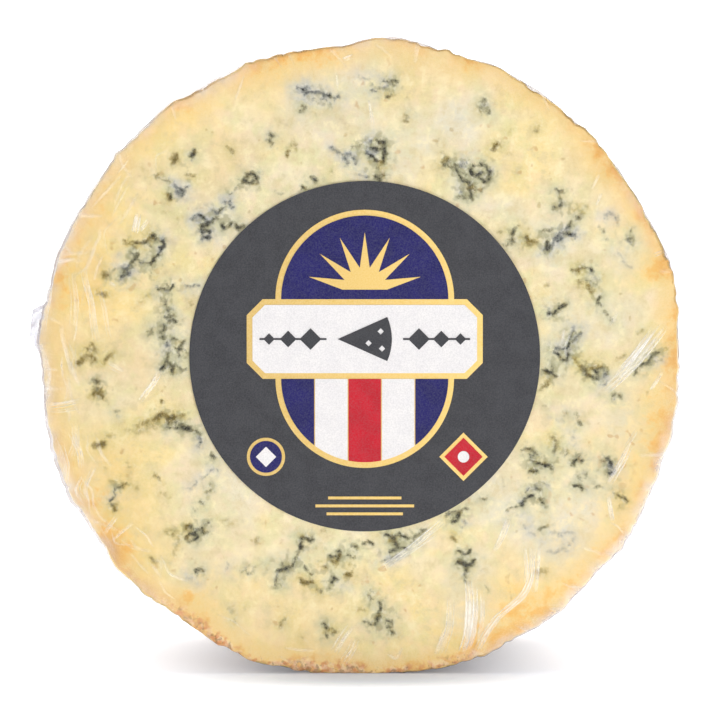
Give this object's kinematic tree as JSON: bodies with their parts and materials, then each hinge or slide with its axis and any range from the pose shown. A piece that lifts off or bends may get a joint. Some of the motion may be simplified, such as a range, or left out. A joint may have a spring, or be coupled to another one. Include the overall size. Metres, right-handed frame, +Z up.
{
  "type": "half wheel of blue stilton cheese",
  "caption": "Half wheel of blue-veined cheese in clear film, standing on its rim, with a round dark label on the cut face.",
  "frame": {"origin": "middle of the small flat on the rim that the half wheel stands on", "axes": "+Z up, -Y out of the cut face with the label, along the wheel's own axis, +X to the right of someone facing the label"},
  "size_m": [0.2056, 0.123, 0.201],
  "materials": {
    "wrapped_cheese": "cream paste with blue veins under clear film",
    "label_charcoal": "printed paper, satin",
    "label_gold": "gold ink, satin",
    "label_white": "printed paper, satin",
    "label_navy": "printed paper, satin",
    "label_red": "printed paper, satin"
  },
  "bodies": {
    "root": {"wrapped_cheese": "wrapped_cheese", "label_paper": "label_charcoal", "label_gold_plate": "label_gold", "label_white_plaque": "label_white", "label_navy_arch": "label_navy", "label_stripe_1": "label_navy", "label_stripe_2": "label_white", "label_stripe_3": "label_red", "label_stripe_4": "label_white", "label_stripe_5": "label_navy", "label_sun": "label_gold", "label_slice": "label_charcoal", "label_beads_left": "label_charcoal", "label_beads_right": "label_charcoal", "label_left_badge_rim": "label_gold", "label_left_badge_field": "label_navy", "label_left_badge_lozenge": "label_white", "label_right_badge_rim": "label_gold", "label_right_badge_field": "label_red", "label_right_badge_dot": "label_white", "label_rule_1": "label_gold", "label_rule_2": "label_gold", "label_rule_3": "label_gold"}
  },
  "joints": []
}
